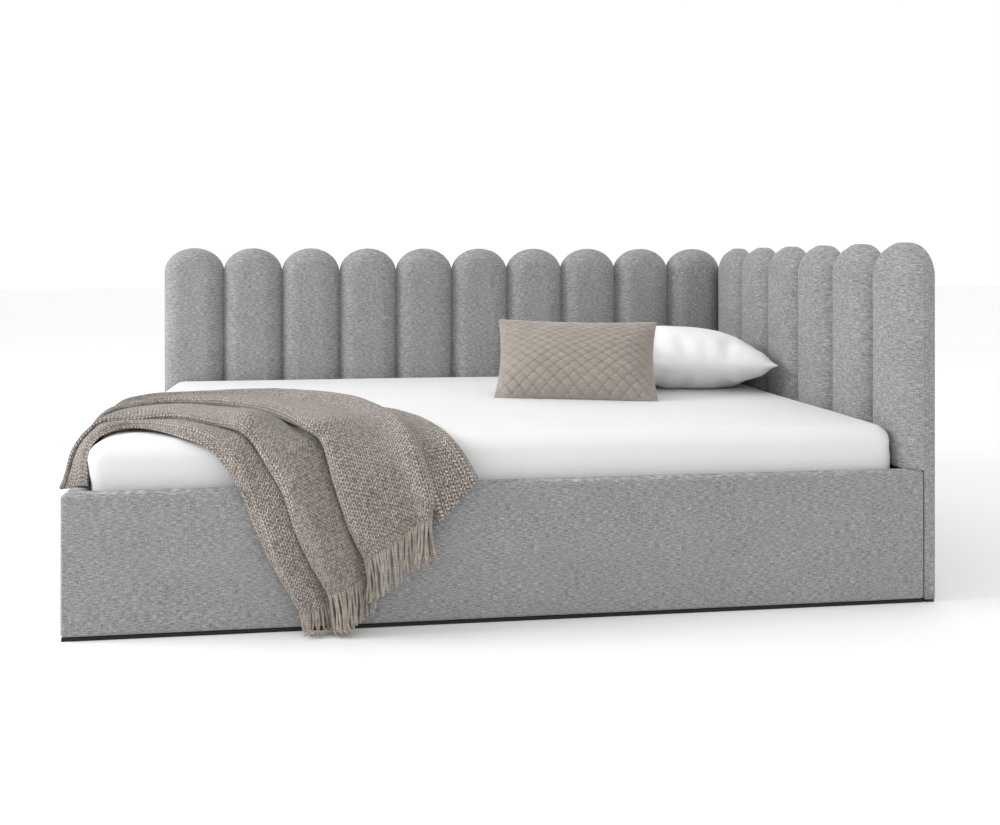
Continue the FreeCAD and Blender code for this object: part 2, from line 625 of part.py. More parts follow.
def mattress():
    """A foam core and the fitted sheet stretched over its top and sides."""
    skin = "Sizes.sheet_thick"
    core_x = f"{MATTRESS_X} + {skin}"
    core_y = f"{MATTRESS_Y} + {skin}"
    core_size = (f"Sizes.mattress_long - 2 * {skin}", f"Sizes.mattress_wide - 2 * {skin}")
    core = new_body("mattress_core", core_x, core_y, MATTRESS_LOW)
    slab = pad(core, new_rectangle(core, *core_size), f"Sizes.mattress_thick - {skin}")
    soften(core, slab, f"Sizes.mattress_thick - {skin}", f"Sizes.mattress_round - {skin}",
           f"Sizes.mattress_edge - {skin}")
    keep(core, "mattress_core")
    cover = new_body("fitted_sheet_outside", MATTRESS_X, MATTRESS_Y, MATTRESS_LOW)
    slab = pad(cover, new_rectangle(cover, "Sizes.mattress_long", "Sizes.mattress_wide"),
               "Sizes.mattress_thick")
    soften(cover, slab, "Sizes.mattress_thick", "Sizes.mattress_round", "Sizes.mattress_edge")
    keep(cut("fitted_sheet", cover, core), "fitted_sheet")


def soften(body, slab, tall, plan_radius, edge_radius):
    """Round a slab's upright corners, then its top edge."""
    corners = fillet(body, slab, plan_radius, is_upright)
    top = value(tall)
    return fillet(body, corners, edge_radius, lambda edge: at(edge, 2, top))


def pillow_shape(label, long, wide, thick, plan_radius, edge_radius):
    """A closed soft block with rounded corners, centred in plan on its own zero."""
    body = doc.addObject("PartDesign::Body", label)
    sketch = new_sketch(body, "XY_Plane")
    half_x = value(long) / 2
    half_y = value(wide) / 2
    corners = [(-half_x, -half_y), (half_x, -half_y), (half_x, half_y), (-half_x, half_y)]
    for side in range(4):
        line(sketch, corners[side], corners[(side + 1) % 4])
    for side in range(4):
        sketch.addConstraint(Sketcher.Constraint("Coincident", side, 2, (side + 1) % 4, 1))
    for side in (0, 2):
        sketch.addConstraint(Sketcher.Constraint("Horizontal", side))
        sketch.addConstraint(Sketcher.Constraint("Vertical", side + 1))
    sketch.addConstraint(Sketcher.Constraint("Symmetric", 0, 1, 2, 1, -1, 1))
    distance(sketch, "DistanceX", (0, 1, 0, 2), "wide", long)
    distance(sketch, "DistanceY", (1, 1, 1, 2), "tall", wide)
    solid = pad(body, sketch, thick)
    rounded = fillet(body, solid, plan_radius, is_upright)
    top = value(thick)
    fillet(body, rounded, edge_radius, lambda edge: at(edge, 2, top) or at(edge, 2, 0))
    return body


def bedding():
    """Pillow flat on the mattress, and a lumbar cushion that leans back against it."""
    pillow = pillow_shape("pillow", "Sizes.pillow_long", "Sizes.pillow_wide",
                          "Sizes.pillow_thick", "Sizes.pillow_plan_round",
                          "Sizes.pillow_edge_round")
    turn = FreeCAD.Rotation(FreeCAD.Vector(0, 0, 1), value("Sizes.pillow_turn"))
    pillow.Placement = FreeCAD.Placement(FreeCAD.Vector(), turn)
    place(pillow, "Sizes.pillow_mid_x", "Sizes.pillow_mid_y",
          "Sizes.mattress_top + Sizes.clearance")
    keep(pillow, "pillow")

    cushion = pillow_shape("cushion", "Sizes.cushion_long", "Sizes.cushion_tall",
                           "Sizes.cushion_thick", "Sizes.cushion_round", "Sizes.cushion_round")
    turn = FreeCAD.Rotation(FreeCAD.Vector(0, 0, 1), value("Sizes.cushion_turn"))
    lean = value("Sizes.cushion_lean")
    upright = FreeCAD.Rotation(FreeCAD.Vector(1, 0, 0), 90 - lean)
    cushion.Placement = FreeCAD.Placement(FreeCAD.Vector(), turn * upright)
    half = "Sizes.cushion_tall / 2"
    lean_sin = math.sin(math.radians(lean))
    lean_cos = math.cos(math.radians(lean))
    lift = f"(({half} - Sizes.cushion_round) * {lean_cos} + Sizes.cushion_round * {1 - lean_sin})"
    place(cushion, "Sizes.cushion_foot_x", f"Sizes.cushion_foot_y + {half} * {lean_sin}",
          f"Sizes.mattress_top + Sizes.clearance + {lift}")
    keep(cushion, "cushion")


def throw():
    """A folded knitted throw: on the mattress, over the front rail, over the foot rail."""
    out = value("Sizes.throw_out")
    behind = out - value("Sizes.throw_hang_thick")
    under = value("Sizes.mattress_top + Sizes.clearance")
    over = under + value("Sizes.throw_thick")
    rail = value(f"{RAIL_TOP} + Sizes.throw_over_rail")
    shoulder = rail + value("Sizes.throw_shoulder")
    rest = value(f"{MATTRESS_Y} + Sizes.throw_rest")
    brink = value(f"{MATTRESS_Y} - Sizes.throw_brink")
    bevel = rest - value("Sizes.throw_bevel")
    start = value("Sizes.throw_front_start")
    end = start + value("Sizes.throw_front_long")
    foot_end = value("Sizes.throw_foot_end")
    plan = [(rest, foot_end - 160), (rest, foot_end + 200), (76, 826), (371, 800), (608, 560),
            (763, 413), (850, 247), (end - 25, rest), (start + 20, rest), (230, 130), (150, 190),
            (100, 250)]
    keep(polygon_solid("throw_top", "XY_Plane", plan, "Sizes.throw_thick", "0", "0", under),
         "throw_top")
    roll = [(-behind, rail), (brink, under), (rest, under), (rest, over), (bevel, over),
            (-out, shoulder), (-out, rail)]
    front_roll = polygon_solid("front_roll", "YZ_Plane", roll, "Sizes.throw_front_long",
                               "Sizes.throw_front_start", "0", "0")
    hang = [(405, rail), (461, 201), (540, 66), (612, 84), (692, 134), (704, 183), (838, 271),
            (862, 262), (end, rail)]
    front_hang = polygon_solid("front_hang", "XZ_Plane", hang, "Sizes.throw_hang_thick",
                               "0", f"-{behind}", "0")
    keep(joined("throw_front_drop", [front_roll, front_hang]), "throw_front_drop")
    foot = polygon_solid("throw_foot_drop", "XZ_Plane", roll, "Sizes.throw_foot_long",
                         "0", "Sizes.throw_foot_end", "0")
    keep(foot, "throw_foot_drop")
    fringe_y = f"-{behind} - Sizes.throw_hang_thick / 2 + Sizes.fringe_thick / 2"
    hems = ([(540, 66), (612, 84), (618, 14), (552, 10)],
            [(613, 84), (692, 134), (688, 34), (622, 14)],
            [(704, 183), (838, 271), (872, 182), (700, 64)])
    strips = [polygon_solid(f"fringe_{index}", "XZ_Plane", hem, "Sizes.fringe_thick",
                            "0", fringe_y, "0") for index, hem in enumerate(hems)]
    keep(group("throw_fringe", strips), "throw_fringe")


def check_and_export():
    doc.recompute()
    for item in doc.Objects:
        if "Invalid" in item.State or "Error" in item.State:
            raise RuntimeError(f"{item.Label}: {item.State}")
    whole = FreeCAD.BoundBox()
    os.makedirs("parts", exist_ok=True)
    for piece in nodes:
        if piece.Shape.isNull() or not piece.Shape.isValid() or not piece.Shape.Solids:
            raise RuntimeError(f"{piece.Label}: no valid solid")
        whole.add(piece.Shape.BoundBox)
        piece.Shape.exportStep(f"parts/{piece.Label}.step")
    print(len(nodes), "pieces; box", whole)


rails()
panels()
supports()
corner_fixings()
ledge_screws()
floor_strips()
slatted_base()
mattress()
bedding()
throw()
check_and_export()
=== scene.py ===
"""Looks of the upholstered corner bed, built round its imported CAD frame. Metres, +Z up.

Places come from the frame's boxes. Those of the throw are measured from the outer corner of the
foot rail and the front rail, on the floor, like the CAD part's own sizes.
"""
import json
import math

import bmesh
import bpy
import numpy as np
from mathutils import Matrix, Vector, noise


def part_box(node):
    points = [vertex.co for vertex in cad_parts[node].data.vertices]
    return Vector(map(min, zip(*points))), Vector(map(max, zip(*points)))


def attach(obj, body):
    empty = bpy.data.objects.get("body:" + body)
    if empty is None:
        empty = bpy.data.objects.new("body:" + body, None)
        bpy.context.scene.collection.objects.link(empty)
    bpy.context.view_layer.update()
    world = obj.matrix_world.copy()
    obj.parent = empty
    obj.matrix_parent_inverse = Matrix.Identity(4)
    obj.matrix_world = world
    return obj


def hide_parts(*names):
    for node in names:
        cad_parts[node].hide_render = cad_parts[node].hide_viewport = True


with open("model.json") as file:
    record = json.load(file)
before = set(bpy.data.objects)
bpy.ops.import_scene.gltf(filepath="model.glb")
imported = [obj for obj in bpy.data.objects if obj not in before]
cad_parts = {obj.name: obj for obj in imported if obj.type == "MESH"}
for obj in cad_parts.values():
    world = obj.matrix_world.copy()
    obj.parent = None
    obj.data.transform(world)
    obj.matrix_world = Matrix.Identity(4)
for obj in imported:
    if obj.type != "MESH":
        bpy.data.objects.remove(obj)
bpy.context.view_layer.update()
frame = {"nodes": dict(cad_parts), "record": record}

MM = 0.001
FRONT_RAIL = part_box("front_rail_cover")
FOOT_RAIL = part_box("foot_rail_cover")
BACK_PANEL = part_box("back_panel_cover")
HEAD_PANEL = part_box("head_panel_cover")
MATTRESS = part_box("fitted_sheet")
CORNER = Vector((FRONT_RAIL[0].x, FRONT_RAIL[0].y, 0))
BACK_COUNT = 10
HEAD_COUNT = 6
PITCH = (BACK_PANEL[1].x - BACK_PANEL[0].x) / BACK_COUNT
ARCH_HALF = PITCH / 2
ARCH_RISE = 90 * MM
ARCH_FOOT = BACK_PANEL[1].z - ARCH_RISE
CHANNEL_DEEP = BACK_PANEL[0].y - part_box("back_channel_01")[0].y
PANEL_THICK = BACK_PANEL[1].y - BACK_PANEL[0].y


# ---------------------------------------------------------------- materials

class Finish:
    """A node material under construction."""

    def __init__(self, name, roughness, **shader_values):
        self.material = bpy.data.materials.new(name)
        self.material.use_nodes = True
        self.tree = self.material.node_tree
        self.shader = self.tree.nodes["Principled BSDF"]
        self.shader.inputs["Roughness"].default_value = roughness
        for key, amount in shader_values.items():
            self.shader.inputs[key.replace("_", " ")].default_value = amount

    def node(self, kind, inputs=None, **properties):
        made = self.tree.nodes.new(f"ShaderNode{kind}")
        for key, amount in properties.items():
            setattr(made, key, amount)
        for key, source in (inputs or {}).items():
            if isinstance(source, bpy.types.NodeSocket):
                self.tree.links.new(source, made.inputs[key])
            else:
                made.inputs[key].default_value = source
        return made

    def math(self, operation, first, second=0.0):
        return self.node("Math", {0: first, 1: second}, operation=operation).outputs[0]

    def place(self, scale, coordinates="Object"):
        source = self.node("TexCoord").outputs[coordinates]
        return self.node("Mapping", {"Vector": source, "Scale": scale}).outputs[0]

    def noise(self, scale, detail=2.0, rough=0.5):
        """Noise whose grain is 1/scale metres long in each direction."""
        made = self.node("TexNoise", {"Vector": self.place(scale), "Scale": 1.0,
                                      "Detail": detail, "Roughness": rough})
        return made.outputs["Fac"]

    def ramp(self, factor, stops):
        made = self.node("ValToRGB", {"Fac": factor})
        ends = made.color_ramp.elements
        while len(ends) < len(stops):
            ends.new(0.5)
        for end, (position, colour) in zip(ends, stops):
            end.position = position
            end.color = (*colour, 1)
        return made.outputs["Color"]

    def multiply(self, first, second):
        """The product of two colours."""
        made = self.node("Mix", data_type="RGBA", blend_type="MULTIPLY")
        made.inputs[0].default_value = 1.0
        self.tree.links.new(first, made.inputs[6])
        self.tree.links.new(second, made.inputs[7])
        return made.outputs[2]

    def colour(self, socket):
        self.tree.links.new(socket, self.shader.inputs["Base Color"])

    def bump(self, height, distance, strength=1.0):
        made = self.node("Bump", {"Height": height, "Distance": distance, "Strength": strength})
        self.tree.links.new(made.outputs[0], self.shader.inputs["Normal"])


def grey(level):
    return (level, level, level)


def upholstery():
    """Mid-grey melange weave: long level threads crossed by upright ones, and soft clouding."""
    finish = Finish("grey_melange_weave", 0.92, Sheen_Weight=0.15, Sheen_Roughness=0.5)
    weft = finish.noise((70, 70, 760), 2.0, 0.6)
    warp = finish.noise((740, 740, 110), 2.0, 0.6)
    fleck = finish.noise((620, 620, 780), 2.0, 0.7)
    cloud = finish.noise((7, 7, 10), 2.0)
    parts = [finish.math("MULTIPLY", weft, 0.45), finish.math("MULTIPLY", warp, 0.19),
             finish.math("MULTIPLY", fleck, 0.36)]
    threads = finish.math("ADD", finish.math("ADD", parts[0], parts[1]), parts[2])
    cloth = finish.ramp(threads, [(0.40, grey(0.125)), (0.47, grey(0.222)), (0.53, grey(0.315)),
                                  (0.60, grey(0.500))])
    shade = finish.ramp(cloud, [(0.3, grey(0.93)), (0.7, grey(1.0))])
    finish.colour(finish.multiply(cloth, shade))
    finish.bump(threads, 0.9 * MM, 0.8)
    return finish.material


def white_cotton(name, level, roughness):
    """Plain white cotton: fine crossed threads and a hardly visible unevenness."""
    finish = Finish(name, roughness, Sheen_Weight=0.12, Sheen_Roughness=0.4)
    finish.shader.inputs["Subsurface Weight"].default_value = 0.06
    finish.shader.inputs["Subsurface Scale"].default_value = 4 * MM
    warp = finish.noise((900, 900, 260), 1.0)
    weft = finish.noise((260, 260, 900), 1.0)
    threads = finish.math("ADD", warp, weft)
    cloud = finish.noise((5, 5, 7), 2.0)
    cloth = finish.ramp(cloud, [(0.3, grey(level * 0.985)), (0.7, grey(level))])
    tint = finish.ramp(threads, [(0.7, grey(0.965)), (1.25, grey(1.0))])
    finish.colour(finish.multiply(cloth, tint))
    finish.bump(threads, 0.35 * MM, 0.5)
    return finish.material


def knit():
    """Chunky stocking stitch: columns of V-shaped stitches along the throw, with painted shade in
    the gaps between stitches and painted highlight on their crowns.
    """
    stitch_wide = 11.5 * MM
    stitch_high = 9.5 * MM
    finish = Finish("taupe_knit", 0.95, Sheen_Weight=0.3, Sheen_Roughness=0.6)
    across = finish.node("SeparateXYZ", {"Vector": finish.place((1, 1, 1), "UV")})
    wobble = finish.noise((45, 45, 45), 1.0)
    shift = finish.math("MULTIPLY", finish.math("SUBTRACT", wobble, 0.5), 0.5)
    column = finish.math("FRACT", finish.math("DIVIDE", across.outputs[0], stitch_wide))
    side = finish.math("MULTIPLY", finish.math("ABSOLUTE", finish.math("SUBTRACT", column, 0.5)),
                       2.0)
    slant = finish.math("ADD", finish.math("DIVIDE", across.outputs[1], stitch_high),
                        finish.math("MULTIPLY", side, -0.9))
    stitch = finish.math("FRACT", finish.math("ADD", slant, shift))
    along = finish.math("SINE", finish.math("MULTIPLY", stitch, math.pi))
    leg = finish.math("SINE", finish.math("MULTIPLY", side, math.pi))
    relief = finish.math("MULTIPLY", finish.math("POWER", along, 0.8),
                         finish.math("ADD", finish.math("MULTIPLY", leg, 0.65), 0.35))
    fibre = finish.noise((700, 700, 700), 3.0, 0.7)
    heather = finish.noise((150, 150, 150), 3.0, 0.6)
    yarn = finish.ramp(heather, [(0.35, (0.19, 0.158, 0.135)), (0.65, (0.60, 0.522, 0.462))])
    # Painted shade and painted highlight: the relief multiplies the yarn's colour from near black
    # in the stitch gaps up to 1.4 on the crowns.
    depth = finish.ramp(relief, [(0.0, (0.08, 0.075, 0.07)), (0.28, (0.42, 0.41, 0.40)),
                                 (0.7, (1.08, 1.08, 1.08)), (1.0, (1.4, 1.4, 1.4))])
    finish.colour(finish.multiply(yarn, depth))
    finish.bump(finish.math("ADD", relief, finish.math("MULTIPLY", fibre, 0.25)), 4.0 * MM)
    return finish.material


def twisted_yarn():
    """Twisted yarn of the fringe, with painted shade in the grooves of its twist."""
    finish = Finish("taupe_yarn", 0.95, Sheen_Weight=0.3, Sheen_Roughness=0.6)
    twist = finish.node("TexWave", {"Vector": finish.place((1, 1, 1), "UV"), "Scale": 1.6,
                                    "Distortion": 1.0}, bands_direction="DIAGONAL")
    heather = finish.noise((70, 70, 70), 3.0, 0.6)
    body = finish.ramp(heather, [(0.35, (0.34, 0.285, 0.235)), (0.65, (0.52, 0.45, 0.39))])
    # Painted shade: the twist bands darken the yarn's colour to 0.45 in their grooves.
    depth = finish.ramp(twist.outputs["Fac"], [(0.0, grey(0.45)), (0.6, grey(1.0))])
    finish.colour(finish.multiply(body, depth))
    finish.bump(twist.outputs["Fac"], 0.8 * MM)
    return finish.material


def brushed_cloth():
    """Taupe brushed cloth of the cushion: short pile, faint level ribs, worn lighter in places."""
    finish = Finish("taupe_brushed_cloth", 0.85, Sheen_Weight=0.55, Sheen_Roughness=0.35)
    pile = finish.noise((800, 800, 800), 2.0, 0.7)
    ribs = finish.noise((60, 60, 700), 2.0, 0.6)
    cloud = finish.noise((18, 18, 26), 2.0)
    mixed = finish.math("ADD", finish.math("MULTIPLY", ribs, 0.5),
                        finish.math("MULTIPLY", pile, 0.5))
    cloth = finish.ramp(mixed, [(0.38, (0.27, 0.235, 0.205)), (0.62, (0.42, 0.37, 0.33))])
    shade = finish.ramp(cloud, [(0.3, grey(0.88)), (0.7, grey(1.0))])
    finish.colour(finish.multiply(cloth, shade))
    finish.bump(mixed, 0.9 * MM, 0.7)
    return finish.material


def wood(name, dark, light, scale, roughness=0.6):
    """Grain that runs along the longest scale."""
    finish = Finish(name, roughness)
    grain = finish.noise(scale, 4.0, 0.6)
    fine = finish.noise(tuple(3 * part for part in scale), 2.0)
    mixed = finish.math("ADD", finish.math("MULTIPLY", grain, 0.7),
                        finish.math("MULTIPLY", fine, 0.3))
    finish.colour(finish.ramp(mixed, [(0.35, dark), (0.65, light)]))
    finish.bump(mixed, 0.4 * MM, 0.6)
    return finish.material


def chipboard():
    """Pressed chips of several sizes and tones."""
    finish = Finish("chipboard", 0.8)
    chips = finish.node("TexVoronoi", {"Vector": finish.place((220, 220, 420)), "Scale": 1.0})
    tone = finish.node("SeparateColor", {"Color": chips.outputs["Color"]}).outputs[0]
    finish.colour(finish.ramp(tone, [(0.0, (0.38, 0.26, 0.15)), (0.5, (0.52, 0.38, 0.23)),
                                     (1.0, (0.66, 0.51, 0.33))]))
    finish.bump(tone, 0.3 * MM, 0.5)
    return finish.material


def coated(name, colour, roughness, grain, metallic=0.0):
    """Powder coat, moulded plastic, rubber or plated steel: a fine even grain."""
    finish = Finish(name, roughness, Metallic=metallic)
    speck = finish.noise((grain, grain, grain), 2.0)
    worn = finish.noise((12, 12, 12), 3.0)
    mixed = finish.math("ADD", finish.math("MULTIPLY", speck, 0.4),
                        finish.math("MULTIPLY", worn, 0.6))
    low = tuple(0.82 * part for part in colour)
    high = tuple(1.15 * part for part in colour)
    finish.colour(finish.ramp(mixed, [(0.35, low), (0.65, high)]))
    finish.bump(speck, 0.15 * MM, 0.5)
    return finish.material


def foam_cover():
    """Quilted mattress ticking that shows only from below."""
    finish = Finish("mattress_ticking", 0.9)
    dots = finish.node("TexVoronoi", {"Vector": finish.place((55, 55, 55)), "Scale": 1.0})
    finish.colour(finish.ramp(dots.outputs["Distance"], [(0.0, grey(0.62)), (0.5, grey(0.78))]))
    finish.bump(dots.outputs["Distance"], 1.5 * MM)
    return finish.material


UPHOLSTERY = upholstery()
SHEET_COTTON = white_cotton("sheet_cotton", 0.785, 0.85)
PILLOW_COTTON = white_cotton("pillow_cotton", 0.84, 0.75)
KNIT = knit()
YARN = twisted_yarn()
BRUSHED_CLOTH = brushed_cloth()
TICKING = foam_cover()


# ---------------------------------------------------------------- geometry helpers

def piece(name, verts, faces, body, material, replaces=(), uv=None):
    """A smooth mesh piece that rides on a CAD body; uv gives (u, v) in metres per vertex."""
    mesh = bpy.data.meshes.new(name)
    mesh.from_pydata([tuple(map(float, v)) for v in verts], [], faces)
    if uv is not None:
        layer = mesh.uv_layers.new(name="UVMap")
        for loop in mesh.loops:
            layer.data[loop.index].uv = uv[loop.vertex_index]
    work = bmesh.new()
    work.from_mesh(mesh)
    bmesh.ops.remove_doubles(work, verts=work.verts, dist=0.00002)
    bmesh.ops.recalc_face_normals(work, faces=work.faces)
    work.to_mesh(mesh)
    work.free()
    mesh.polygons.foreach_set("use_smooth", [True] * len(mesh.polygons))
    mesh.materials.append(material)
    obj = bpy.data.objects.new(name, mesh)
    bpy.context.scene.collection.objects.link(obj)
    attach(obj, body)
    if replaces:
        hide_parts(*replaces)
    return obj


def grid_faces(rows, columns, offset=0, close_rows=False):
    """Quads of a rows x columns grid of vertices, optionally closed round its columns."""
    faces = []
    for r in range(rows - 1):
        for c in range(columns if close_rows else columns - 1):
            c2 = (c + 1) % columns
            a = offset + r * columns
            b = offset + (r + 1) * columns
            faces.append((a + c, a + c2, b + c2, b + c))
    return faces


def stops(low, high, radius, step, arc_cuts=6):
    """Places along one edge of a rounded box: dense in its rounded ends."""
    inner = max(2, int(round((high - low - 2 * radius) / step)) + 1)
    first = np.linspace(low, low + radius, arc_cuts, endpoint=False)
    middle = np.linspace(low + radius, high - radius, inner)
    last = np.linspace(high - radius, high, arc_cuts + 1)[1:]
    return np.concatenate([first, middle, last])


def rounded_box(low, high, radii, step, skip_bottom=False):
    """Vertices and quads of a box whose edges have their own radius along each axis."""
    low, high, radii = (np.array(item, float) for item in (low, high, radii))
    lines = [stops(low[axis], high[axis], radii[axis], step) for axis in range(3)]
    verts = []
    faces = []
    for axis in range(3):
        u_axis, v_axis = [other for other in range(3) if other != axis]
        for end in (low[axis], high[axis]):
            if skip_bottom and axis == 2 and end == low[2]:
                continue
            grid_u, grid_v = np.meshgrid(lines[u_axis], lines[v_axis], indexing="ij")
            block = np.zeros((*grid_u.shape, 3))
            block[..., axis] = end
            block[..., u_axis] = grid_u
            block[..., v_axis] = grid_v
            faces += grid_faces(len(lines[u_axis]), len(lines[v_axis]), len(verts))
            verts += list(block.reshape(-1, 3))
    points = np.array(verts)
    core = np.clip(points, low + radii, high - radii)
    away = (points - core) / radii
    length = np.linalg.norm(away, axis=1, keepdims=True)
    return core + away / np.maximum(length, 1e-9) * radii, faces


def catmull_rom(values, per_step):
    """Points along a smooth curve through the values, per_step of them between each two."""
    values = np.array(values, float)
    ends = np.vstack([2 * values[0] - values[1], values, 2 * values[-1] - values[-2]])
    curve = []
    for index in range(1, len(ends) - 2):
        p0, p1, p2, p3 = ends[index - 1:index + 3]
        for step in np.linspace(0, 1, per_step, endpoint=False):
            curve.append(0.5 * (2 * p1 + (p2 - p0) * step
                                + (2 * p0 - 5 * p1 + 4 * p2 - p3) * step ** 2
                                + (3 * p1 - p0 - 3 * p2 + p3) * step ** 3))
    curve.append(values[-1])
    return np.array(curve)


def rough(point, scale, seed=0.0):
    """Smooth noise from -1 to 1 at a point, stretched by scale."""
    return noise.noise(Vector((point[0] * scale[0] + seed, point[1] * scale[1] - seed,
                               point[2] * scale[2] + 2 * seed)))


# ---------------------------------------------------------------- frame covers

def rail_cover(name, box, replaces):
    """Fabric drawn over a padded rail: soft edges, a slight swell and a little unevenness."""
    low, high = box
    edge_round = 10 * MM
    points, faces = rounded_box(low, high, (edge_round,) * 3, 30 * MM)
    middle = (np.array(low) + np.array(high)) / 2
    half = (np.array(high) - np.array(low)) / 2
    thin = int(np.argmin(half))
    for point in points:
        side = (point[thin] - middle[thin]) / half[thin]
        if abs(side) > 0.95:
            swell = 1.2 * MM * rough(point, (5, 5, 7), 3.0) - 0.6 * MM
            point[thin] += math.copysign(swell, side)
    return piece(name, points, faces, "bed_frame", UPHOLSTERY, replaces)


def arch(turn):
    """A point of a channel's rounded top, from its left foot at -90 degrees to its right one."""
    return ARCH_HALF * (1 + math.sin(turn)), ARCH_FOOT + ARCH_RISE * math.cos(turn)


def panel_outline(count, length):
    """Points round a scalloped panel as (along, up), counter-clockwise from its lower right."""
    bottom = BACK_PANEL[0].z
    points = [(length, bottom)]
    tail = length > count * PITCH + MM
    end_height = ARCH_FOOT + (18 * MM if tail else 0)
    points += [(length, z) for z in np.linspace(bottom, end_height, 24)[1:]]
    for index in reversed(range(count)):
        for turn in np.linspace(math.pi / 2, -math.pi / 2, 25):
            x, z = arch(turn)
            place = (index * PITCH + x, z)
            if tail and index == count - 1 and turn > 0 and z < end_height:
                continue
            if math.dist(points[-1], place) > MM / 2:
                points.append(place)
    points += [(0.0, z) for z in np.linspace(ARCH_FOOT, bottom, 24)[1:]]
    points += [(x, bottom) for x in np.linspace(0, length, 40)[1:-1]]
    return np.array(points)


def shrunk(outline, inset):
    """The outline moved inwards by inset, with its corners mitred."""
    before = outline - np.roll(outline, 1, axis=0)
    after = np.roll(outline, -1, axis=0) - outline
    normals = []
    for edge in (before, after):
        unit = edge / np.linalg.norm(edge, axis=1, keepdims=True)
        normals.append(np.stack([-unit[:, 1], unit[:, 0]], axis=1))
    mitre = normals[0] + normals[1]
    mitre /= np.maximum((mitre * mitre).sum(axis=1, keepdims=True), 0.8)
    return outline + 2 * mitre * inset


def panel_cover(name, count, length, to_world, replaces):
    """Fabric round the whole board, a little proud of its front, with soft edges at the back."""
    outline = panel_outline(count, length)
    edge = 5 * MM
    skin = 6 * MM
    proud = 0.3 * MM
    rings = [(4 * skin, -proud), (skin, -proud), (edge * 0.3, 0.0)]
    rings += [(0.0, depth) for depth in (1.5 * MM, PANEL_THICK * 0.4, PANEL_THICK - edge)]
    for turn in (0.35, 0.7, 1.05, math.pi / 2):
        rings.append((edge * (1 - math.cos(turn)), PANEL_THICK - edge * (1 - math.sin(turn))))
    verts = []
    for inset, depth in rings:
        verts += [to_world(x, -depth, z) for x, z in shrunk(outline, inset)]
    size = len(outline)
    faces = grid_faces(len(rings), size, close_rows=True)
    faces.append(tuple(range(size)))
    faces.append(tuple(reversed(range(len(verts) - size, len(verts)))))
    obj = piece(name, verts, faces, "bed_frame", UPHOLSTERY, replaces)
    for polygon in obj.data.polygons:
        if len(polygon.vertices) > 4:
            polygon.use_smooth = False
    return obj


def channel_outline(left, right, low):
    """Points round a channel's seam, clockwise from its lower left."""
    turns = [math.asin(max(-1.0, min(1.0, x / ARCH_HALF - 1))) for x in (left, right)]
    side_cuts = 74
    top_cuts = 42
    bottom_cuts = 12
    top = [arch(turn) for turn in np.linspace(turns[0], turns[1], top_cuts)]
    outline = [(left, z) for z in np.linspace(low, top[0][1], side_cuts, endpoint=False)]
    outline += top
    outline += [(right, z) for z in np.linspace(top[-1][1], low, side_cuts + 1)[1:]]
    outline += [(x, low) for x in np.linspace(right, left, bottom_cuts)[1:-1]]
    return np.array(outline)


def channel(name, wide, low, to_world, seed):
    """One stuffed channel: its depth grows from a tight seam all round to a soft crown."""
    gap = 0.2 * MM
    left, right = gap, wide - gap
    outline = channel_outline(left, right, low)
    spine = np.stack([np.full(len(outline), (left + right) / 2),
                      np.clip(outline[:, 1], low + 30 * MM, ARCH_FOOT + ARCH_RISE - wide / 2)],
                     axis=1)
    reach = np.array([0, 1.0, 2.5, 5, 8.5, 13, 18.5, 25, 33, 43, 56, 74, 110]) / 110
    seam_depth = 3 * MM
    crown_gain = CHANNEL_DEEP - 3 * MM - seam_depth
    seam_round = 80 * MM
    stitch_reach = 14 * MM
    shoulder = 5 * MM
    shoulder_reach = 30 * MM
    verts = [to_world(x, 0, z) for x, z in outline]
    for part in reach:
        for start, end in zip(outline, spine):
            x, z = start + part * (end - start)
            over = max(0.0, z - ARCH_FOOT) / ARCH_RISE
            distance = ARCH_HALF * (1 - math.hypot(x / ARCH_HALF - 1, over))
            closeness = min(1.0, max(0.0, 1 - distance / seam_round))
            tight = max(0.0, 1 - distance / stitch_reach)
            swell = 1 - closeness ** 2.5
            depth = seam_depth + crown_gain * swell - seam_depth * tight ** 2
            rising = 1 - (1 - min(1.0, distance / shoulder_reach)) ** 2
            depth += shoulder * (1 - tight) * rising
            wave = 6 * rough((seed, 0, start[1]), (1, 1, 8))
            depth += 0.5 * MM * closeness ** 4 * math.sin(z * 230 + wave)
            depth += 1.3 * MM * rough((x + seed, 0, z), (9, 1, 5), seed) * swell
            verts.append(to_world(x, min(depth, CHANNEL_DEEP), z))
    size = len(outline)
    faces = grid_faces(len(reach) + 1, size, close_rows=True)
    faces.append(tuple(range(size)))
    obj = piece(f"{name}_pad", verts, faces, "bed_frame", UPHOLSTERY, (name,))


def upholstered_frame():
    """Both rails' covers, both panels' covers and their channels."""
    rail_cover("front_rail_fabric", FRONT_RAIL, ("front_rail_cover", "front_rail_board"))
    rail_cover("foot_rail_fabric", FOOT_RAIL, ("foot_rail_cover", "foot_rail_board"))
    board_y = BACK_PANEL[0].y
    board_x = HEAD_PANEL[0].x

    def along_back(x, depth, z):
        return (CORNER.x + x, board_y - depth, z)

    def along_head(y, depth, z):
        return (board_x - depth, CORNER.y + y, z)

    back_long = BACK_PANEL[1].x - BACK_PANEL[0].x
    head_long = HEAD_PANEL[1].y - HEAD_PANEL[0].y
    panel_cover("back_panel_fabric", BACK_COUNT, back_long, along_back, ("back_panel_cover",))
    panel_cover("head_panel_fabric", HEAD_COUNT, head_long, along_head, ("head_panel_cover",))
    for row, count, to_world, long_axis in (("back", BACK_COUNT, along_back, 0),
                                            ("head", HEAD_COUNT, along_head, 1)):
        for index in range(count):
            name = f"{row}_channel_{index + 1:02d}"
            low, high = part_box(name)
            wide = high[long_axis] - low[long_axis] + 0.4 * MM

            def shifted(x, depth, z, start=index * PITCH, place=to_world):
                return place(start + x, depth, z)

            channel(name, wide, low.z, shifted, index * 1.7 + (20 if row == "head" else 0))


# ---------------------------------------------------------------- mattress

